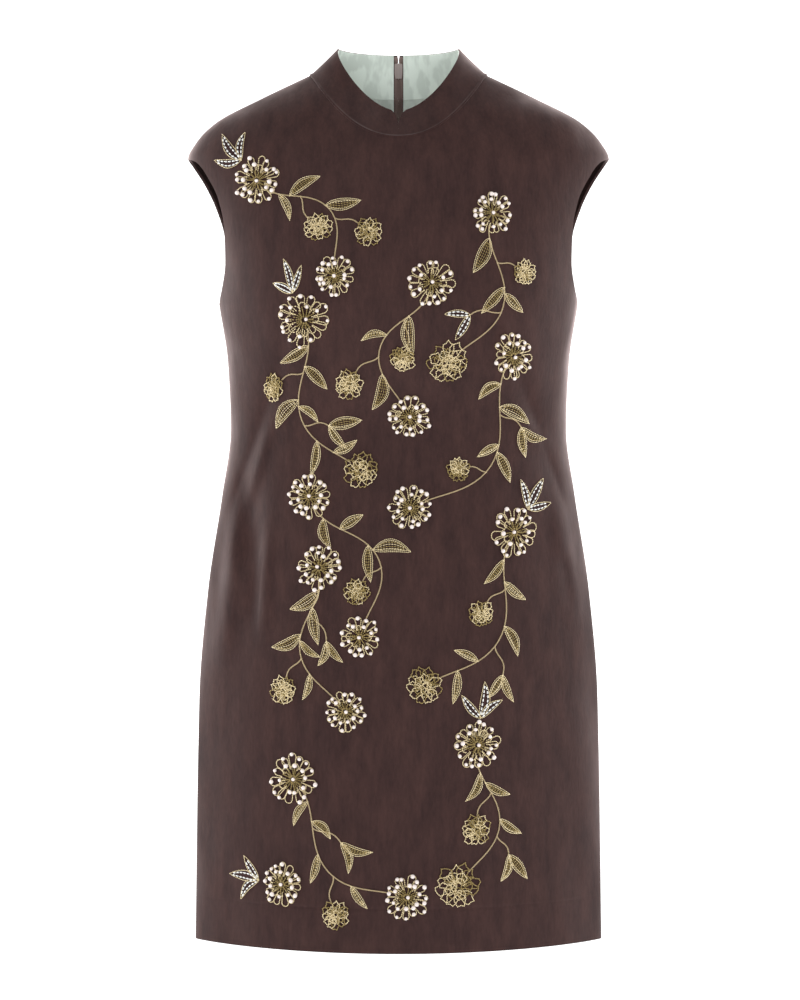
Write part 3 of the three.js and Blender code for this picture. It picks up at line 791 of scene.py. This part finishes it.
class Ground:
    """The room left for motifs on the front."""

    def __init__(self):
        self.taken = []

    def take(self, x, z, radius):
        """Claims a round place if it lies on the front, clear of every other."""
        wide = EDGE_SHARE * float(half_width(z)) - radius * 0.7
        if UNDERARM_Z < z < UNDERARM_Z + ARMHOLE_REACH:
            wide = min(wide, float(armhole_front(z)) - radius - ARMHOLE_MARGIN)
        low = HEM_Z + HEM_MARGIN + radius
        high = float(neck_height(-1, x)) - NECK_MARGIN - radius
        clear = all(math.hypot(x - a, z - b) > radius + r for a, b, r in self.taken)
        if abs(x) > wide or z < low or z > high or not clear:
            return False
        self.taken.append((x, z, radius))
        return True


def curve_from(x, z, heading, curl, length, count=26):
    """A smooth wandering line and its heading at each point."""
    t = np.linspace(0, 1, count)
    angles = np.radians(heading + curl * np.sin(2 * math.pi * 0.85 * t))
    step = length / (count - 1)
    xs = x + np.concatenate([[0], (step * np.cos(angles))[:-1].cumsum()])
    zs = z + np.concatenate([[0], (step * np.sin(angles))[:-1].cumsum()])
    return np.stack([xs, zs], 1), angles


def leaf_at(kinds, ground, x, z, angle, length, silver, random):
    """A leaf, where there is room for it. Says whether it was made."""
    middle_x = x + math.cos(angle) * length / 2
    middle_z = z + math.sin(angle) * length / 2
    if not ground.take(middle_x, middle_z, length * (0.16 if silver else 0.2)):
        return False
    share = 0.28 if silver else random.uniform(0.26, 0.36)
    leaf(kinds, spot_at(x, z), angle, length, length * share, silver, random)
    return True


def flower_at(kinds, ground, x, z, radius, gold, random):
    """A flower, where there is room for it. Says whether it was made."""
    if not ground.take(x, z, radius + FLOWER_ROOM):
        return False
    draw = gold_flower if gold else pearl_flower
    draw(kinds, spot_at(x, z), radius, random)
    return True


def side_branch(kinds, ground, x, z, angle, number, random):
    """A short bent twig that ends in a small bloom or in leaves."""
    length = random.uniform(20, 36)
    twig, ways = curve_from(x, z, math.degrees(angle), 24 if number % 2 else -24, length, 9)
    end_x, end_z = twig[-1]
    radius = random.uniform(12, 16)
    out_x = end_x + math.cos(ways[-1]) * radius * 0.75
    out_z = end_z + math.sin(ways[-1]) * radius * 0.75
    bloom = number % 3 != 2
    if bloom and flower_at(kinds, ground, out_x, out_z, radius, True, random):
        stem(kinds, (0, 0, 1), twig)
        return
    made = [leaf_at(kinds, ground, end_x, end_z, ways[-1] + turn, random.uniform(26, 36),
                    number % 2 == 0, random) for turn in (0.55, -0.5)]
    if any(made):
        stem(kinds, (0, 0, 1), twig)


def silver_trio(kinds, ground, x, z, angle, random):
    """Up to three silver leaves that spread from one place."""
    for turn, length in ((-0.8, 30), (0, 37), (0.85, 31)):
        leaf_at(kinds, ground, x, z, angle + turn, length, True, random)


def free_stretch(ground, points, angles):
    """The start of a stem, up to where it would near an edge, a flower or a stem.

    The flower it grows from is the last place taken, and doesn't stop it.
    """
    stops = np.abs(points[:, 0]) > (EDGE_SHARE - 0.06) * half_width(points[:, 1])
    stops |= points[:, 1] < HEM_Z + HEM_MARGIN + 24
    for x, z, radius in ground.taken[:-1]:
        is_leaf = 1 <= radius <= 9
        near = np.hypot(points[:, 0] - x, points[:, 1] - z) < radius + 4
        stops |= near & (not is_leaf)
    last = int(np.argmax(stops)) if stops.any() else len(points)
    return points[:last], angles[:last]


def vine_end(kinds, ground, end, angle, number, random):
    """The bloom that ends a stem: the largest there is room for, or else a leaf."""
    for radius in (random.uniform(17, 24), 14, 11):
        x = end[0] + math.cos(angle) * radius * 0.72
        z = end[1] + math.sin(angle) * radius * 0.72
        if flower_at(kinds, ground, x, z, radius, number % 3 == 1, random):
            return
    for turn in (0, 0.6, -0.6, 1.1, -1.1):
        if leaf_at(kinds, ground, *end, angle + turn, 28, False, random):
            return


def vine(kinds, ground, start, number, random):
    """A pearl flower, a stem that wanders away from it with branches, and an end."""
    x, z, heading, curl, length = start
    radius = random.uniform(22, 28)
    for mirror in (1, -1, 0.45, -0.45):
        if flower_at(kinds, ground, x * mirror, z, radius, False, random):
            break
    else:
        return
    x = x * mirror
    heading = heading if mirror > 0 else -180 - heading
    curl = curl if mirror > 0 else -curl
    points, angles = free_stretch(ground, *curve_from(x, z, heading, curl, length))
    outside = np.hypot(points[:, 0] - x, points[:, 1] - z) > radius * 0.5
    points, angles = points[outside], angles[outside]
    back = math.radians(heading) + math.pi
    tip = (x + math.cos(back) * (radius + 2), z + math.sin(back) * (radius + 2))
    if number % 2 == 0:
        silver_trio(kinds, ground, *tip, back, random)
    if len(points) < 5:
        return
    stem(kinds, (0, 0, 1), points)
    vine_end(kinds, ground, points[-1], angles[-1], number, random)
    ground.taken.extend((a, b, STEM_ROOM) for a, b in points[:-4])
    for i, share in enumerate((0.3, 0.65)):
        at = int(share * (len(points) - 1))
        way = 1 if (i + number) % 2 else -1
        side_branch(kinds, ground, *points[at], angles[at] + way * 0.95, number + i, random)
    for i, share in enumerate((0.12, 0.22, 0.44, 0.52, 0.74, 0.88)):
        at = int(share * (len(points) - 1))
        way = 1 if i % 2 else -1
        size = random.uniform(26, 40)
        turn = way * random.uniform(0.6, 1.1)
        leaf_at(kinds, ground, *points[at], angles[at] + turn, size, False, random)


# Beads in one joined mesh: a pearl has 92 triangles and any other bead 32.
PEARLS_A_PIECE = 1300
BEADS_A_PIECE = 5500


def beading(materials):
    """All the beads of the front, joined by kind."""
    random = np.random.default_rng(7)
    kinds = {name: Beads() for name in ("pearl", "pale", "olive", "silver", "cord")}
    ground = Ground()
    for number, start in enumerate(vine_starts()):
        vine(kinds, ground, start, number, random)
    made = []
    for kind, beads in kinds.items():
        shape = PEARL if kind == "pearl" else SEED_BEAD
        limit = PEARLS_A_PIECE if kind == "pearl" else BEADS_A_PIECE
        rows = beads.rows
        for part, start in enumerate(range(0, len(rows), limit), 1):
            some = Beads()
            some.rows = rows[start:start + limit]
            thing = some.build(f"beads_{kind}_{part}", shape, materials[kind])
            made.append(thing)
    return made


# ------------------------------------------------------------------ materials

def linear(red, green, blue):
    """A colour given in the 0 to 255 of a screen, as light."""
    return (*[(c / 255 / 12.92) if c < 10 else ((c / 255 + 0.055) / 1.055) ** 2.4
              for c in (red, green, blue)], 1.0)


def new_material(name, colour, roughness, **sockets):
    material = bpy.data.materials.new(name)
    material.use_nodes = True
    shader = material.node_tree.nodes["Principled BSDF"]
    shader.inputs["Base Color"].default_value = linear(*colour)
    shader.inputs["Roughness"].default_value = roughness
    for socket, value in sockets.items():
        shader.inputs[socket.replace("_", " ")].default_value = value
    return material, shader


def link(tree, output, socket):
    tree.links.new(output, socket)


def noise_node(tree, scale, stretch=(1, 1, 1), detail=4):
    place = tree.nodes.new("ShaderNodeTexCoord")
    mapping = tree.nodes.new("ShaderNodeMapping")
    mapping.inputs["Scale"].default_value = stretch
    noise = tree.nodes.new("ShaderNodeTexNoise")
    noise.inputs["Scale"].default_value = scale
    noise.inputs["Detail"].default_value = detail
    link(tree, place.outputs["Object"], mapping.inputs["Vector"])
    link(tree, mapping.outputs["Vector"], noise.inputs["Vector"])
    return noise.outputs["Fac"]


def math_node(tree, operation, first, second):
    """A sum on two values; each is a socket or a number."""
    node = tree.nodes.new("ShaderNodeMath")
    node.operation = operation
    for socket, value in zip(node.inputs, (first, second)):
        if isinstance(value, (int, float)):
            socket.default_value = value
        else:
            link(tree, value, socket)
    return node.outputs[0]


def ramp_node(tree, value, stops):
    ramp = tree.nodes.new("ShaderNodeValToRGB")
    for element, (place, colour) in zip(ramp.color_ramp.elements, stops):
        element.position = place
        element.color = linear(*colour)
    link(tree, value, ramp.inputs["Fac"])
    return ramp.outputs["Color"]


def bumped(tree, shader, height, strength, distance):
    bump = tree.nodes.new("ShaderNodeBump")
    bump.inputs["Strength"].default_value = strength
    bump.inputs["Distance"].default_value = distance
    link(tree, height, bump.inputs["Height"])
    link(tree, bump.outputs["Normal"], shader.inputs["Normal"])


def velvet_material():
    """Brown-black velvet with a streaky nap, and painted sheen: the base colour turns silvery in
    patches where the surface turns away from view.
    """
    material, shader = new_material("velvet", (58, 36, 34), 0.75, Sheen_Weight=0.13,
                                    Sheen_Roughness=0.25, Specular_IOR_Level=0.2)
    shader.inputs["Sheen Tint"].default_value = linear(226, 200, 196)
    tree = material.node_tree
    nap = noise_node(tree, 44, (1.7, 1, 0.55), 9)
    pile = noise_node(tree, 240, (1.5, 1, 0.5), 4)
    grain = math_node(tree, "ADD", nap, math_node(tree, "MULTIPLY", pile, 0.55))
    plain = ramp_node(tree, math_node(tree, "MULTIPLY", grain, 0.645),
                      [(0.34, (45, 27, 26)), (0.66, (62, 40, 37))])
    # Painted sheen: the base colour is mixed towards a pale silvery colour where the surface
    # turns away from view, in streaky patches.
    edge = tree.nodes.new("ShaderNodeLayerWeight")
    edge.inputs["Blend"].default_value = 0.5
    painted_sheen_facing = math_node(tree, "POWER", edge.outputs["Facing"], 3.4)
    sheen_patch_noise = noise_node(tree, 16, (1.3, 1, 0.4), 5)
    painted_sheen_patches = math_node(tree, "POWER", math_node(tree, "MULTIPLY", sheen_patch_noise, 1.85), 3.5)
    painted_sheen = math_node(tree, "MINIMUM", math_node(tree, "MULTIPLY", painted_sheen_facing, painted_sheen_patches), 1)
    mix = tree.nodes.new("ShaderNodeMix")
    mix.data_type = "RGBA"
    inputs = {socket.identifier: socket for socket in mix.inputs}
    outputs = {socket.identifier: socket for socket in mix.outputs}
    # The colour of the painted sheen.
    inputs["B_Color"].default_value = linear(158, 141, 139)
    link(tree, painted_sheen, inputs["Factor_Float"])
    link(tree, plain, inputs["A_Color"])
    link(tree, outputs["Result_Color"], shader.inputs["Base Color"])
    bumped(tree, shader, grain, 0.6, 0.0009)
    return material


def lining_material():
    """Mint lining cloth with a soft jacquard of blurred leaf shapes."""
    material, shader = new_material("lining", (203, 214, 204), 0.5, Specular_IOR_Level=0.4)
    tree = material.node_tree
    blotch = noise_node(tree, 55, (1.8, 1, 0.7), 2)
    colour = ramp_node(tree, blotch, [(0.44, (222, 234, 224)), (0.56, (240, 252, 242))])
    link(tree, colour, shader.inputs["Base Color"])
    bumped(tree, shader, noise_node(tree, 1400, (1, 1, 0.3), 2), 0.2, 0.0002)
    return material


def bead_material(name, colour, roughness, metallic=0.0, coat=0.0):
    material, _ = new_material(name, colour, roughness, Metallic=metallic, Coat_Weight=coat,
                               Coat_Roughness=0.1)
    return material


def all_materials():
    tape, _ = new_material("zip_tape", (128, 108, 102), 0.85)
    metal, _ = new_material("zip_metal", (176, 162, 158), 0.45, Metallic=0.4)
    return {
        "velvet": velvet_material(),
        "lining": lining_material(),
        "tape": tape,
        "metal": metal,
        "pearl": bead_material("pearl_beads", (236, 224, 219), 0.22, coat=0.6),
        "pale": bead_material("pale_gold_beads", (214, 196, 154), 0.26, 0.45, 0.4),
        "olive": bead_material("olive_gold_beads", (150, 130, 80), 0.3, 0.6, 0.3),
        "silver": bead_material("silver_beads", (226, 226, 222), 0.2, 0.35, 0.5),
        "cord": bead_material("stem_cord", (178, 158, 122), 0.5, 0.2),
    }


# ------------------------------------------------------------------ the dress


def declare_cloth(thing, node):
    """Hides the frame's solid that a cloth piece stands for."""
    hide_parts(node)


def dress(materials):
    velvet = materials["velvet"]
    lining = materials["lining"]
    tape = materials["tape"]
    declare_cloth(front_panel(velvet), "front")
    for side, hand in (("left", 1), ("right", -1)):
        back = back_panel(side, hand, velvet)
        declare_cloth(back, f"back_{side}")
        collar = collar_half(f"collar_cloth_{side}", hand, 0, VELVET, back_half_gap, velvet)
        declare_cloth(collar, f"collar_{side}")
        inside = collar_half(f"collar_lining_cloth_{side}", hand, FIRST_LAYER, LINING,
                             lambda height: LINING_FROM + 0 * height, lining)
        declare_cloth(inside, f"collar_lining_{side}")
        neck = neck_lining(side, hand, lining)
        declare_cloth(neck, f"neck_lining_{side}")
        for face, where in ((-1, "front"), (1, "back")):
            facing = armhole_facing(face, side, hand, velvet)
            declare_cloth(facing, f"facing_{where}_{side}")
        strip = zip_tape(side, hand, tape)
        declare_cloth(strip, f"zip_tape_{side}")
    coil = zip_teeth(tape)
    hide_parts("zip_coil")
    folded_tape_ends(tape)


def finish_metal(material):
    """The stop, the slider and its pull keep the frame's shapes, with metal on them."""
    for node in ("zip_stop", "zip_slider", "zip_pull"):
        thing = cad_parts[node]
        thing.data.materials.clear()
        thing.data.materials.append(material)


# ------------------------------------------------------------------ stage

def area_light(name, place, target, size, power, colour=(1, 1, 1)):
    data = bpy.data.lights.new(name, "AREA")
    data.size = size
    data.energy = power
    data.color = colour
    light = bpy.data.objects.new(name, data)
    bpy.context.scene.collection.objects.link(light)
    light.location = place
    way = [t - p for t, p in zip(target, place)]
    light.rotation_euler = Vector(way).to_track_quat("-Z", "Y").to_euler()


def white_world():
    world = bpy.data.worlds.new("white")
    bpy.context.scene.world = world
    world.use_nodes = True
    background = world.node_tree.nodes["Background"]
    background.inputs["Color"].default_value = (1, 1, 1, 1)
    background.inputs["Strength"].default_value = 0.5


def white_sheet(name, corners, glow):
    """A plain pale surface of the stage."""
    mesh = bpy.data.meshes.new(name)
    mesh.from_pydata((np.array(corners) * MM).tolist(), [], [(0, 1, 2, 3)])
    plain, shader = new_material(f"{name}_white", (250, 250, 250), 0.9)
    shader.inputs["Emission Color"].default_value = (1, 1, 1, 1)
    shader.inputs["Emission Strength"].default_value = glow
    mesh.materials.append(plain)
    thing = bpy.data.objects.new(name, mesh)
    bpy.context.scene.collection.objects.link(thing)


def studio():
    """A pale floor, 600 mm under the hem, and a bright wall behind."""
    reach = 16000
    z = HEM_Z - 600
    wall_y = 10000
    white_sheet("floor", [(-reach, -reach, z), (reach, -reach, z),
                          (reach, wall_y, z), (-reach, wall_y, z)], 0.5)
    white_sheet("wall", [(-reach, wall_y, z), (reach, wall_y, z),
                         (reach, wall_y, reach), (-reach, wall_y, reach)], 0.9)


CAMERA_LENS = 109.73
CAMERA_PLACE = (0.0016, -3.2, -0.445)


def camera():
    data = bpy.data.cameras.new("camera")
    data.lens = CAMERA_LENS
    thing = bpy.data.objects.new("camera", data)
    bpy.context.scene.collection.objects.link(thing)
    thing.location = CAMERA_PLACE
    thing.rotation_euler = (math.pi / 2, 0, 0)
    bpy.context.scene.camera = thing


def lights():
    """Soft light from both sides in front, and a rim of it from both sides behind."""
    middle = (0, 0, -0.45)
    area_light("key", (-1.4, -2.4, 1.2), middle, 1.4, 26)
    area_light("fill", (1.6, -2.2, 0.4), middle, 1.4, 16)
    area_light("rim_left", (1.9, 0.6, 0.1), middle, 1.0, 26)
    area_light("rim_right", (-1.9, 0.6, 0.1), middle, 1.0, 30)


# ------------------------------------------------------------------ all together

materials = all_materials()
dress(materials)
finish_metal(materials["metal"])
beading(materials)
white_world()
studio()
lights()
camera()
bpy.context.scene.view_settings.view_transform = "Standard"
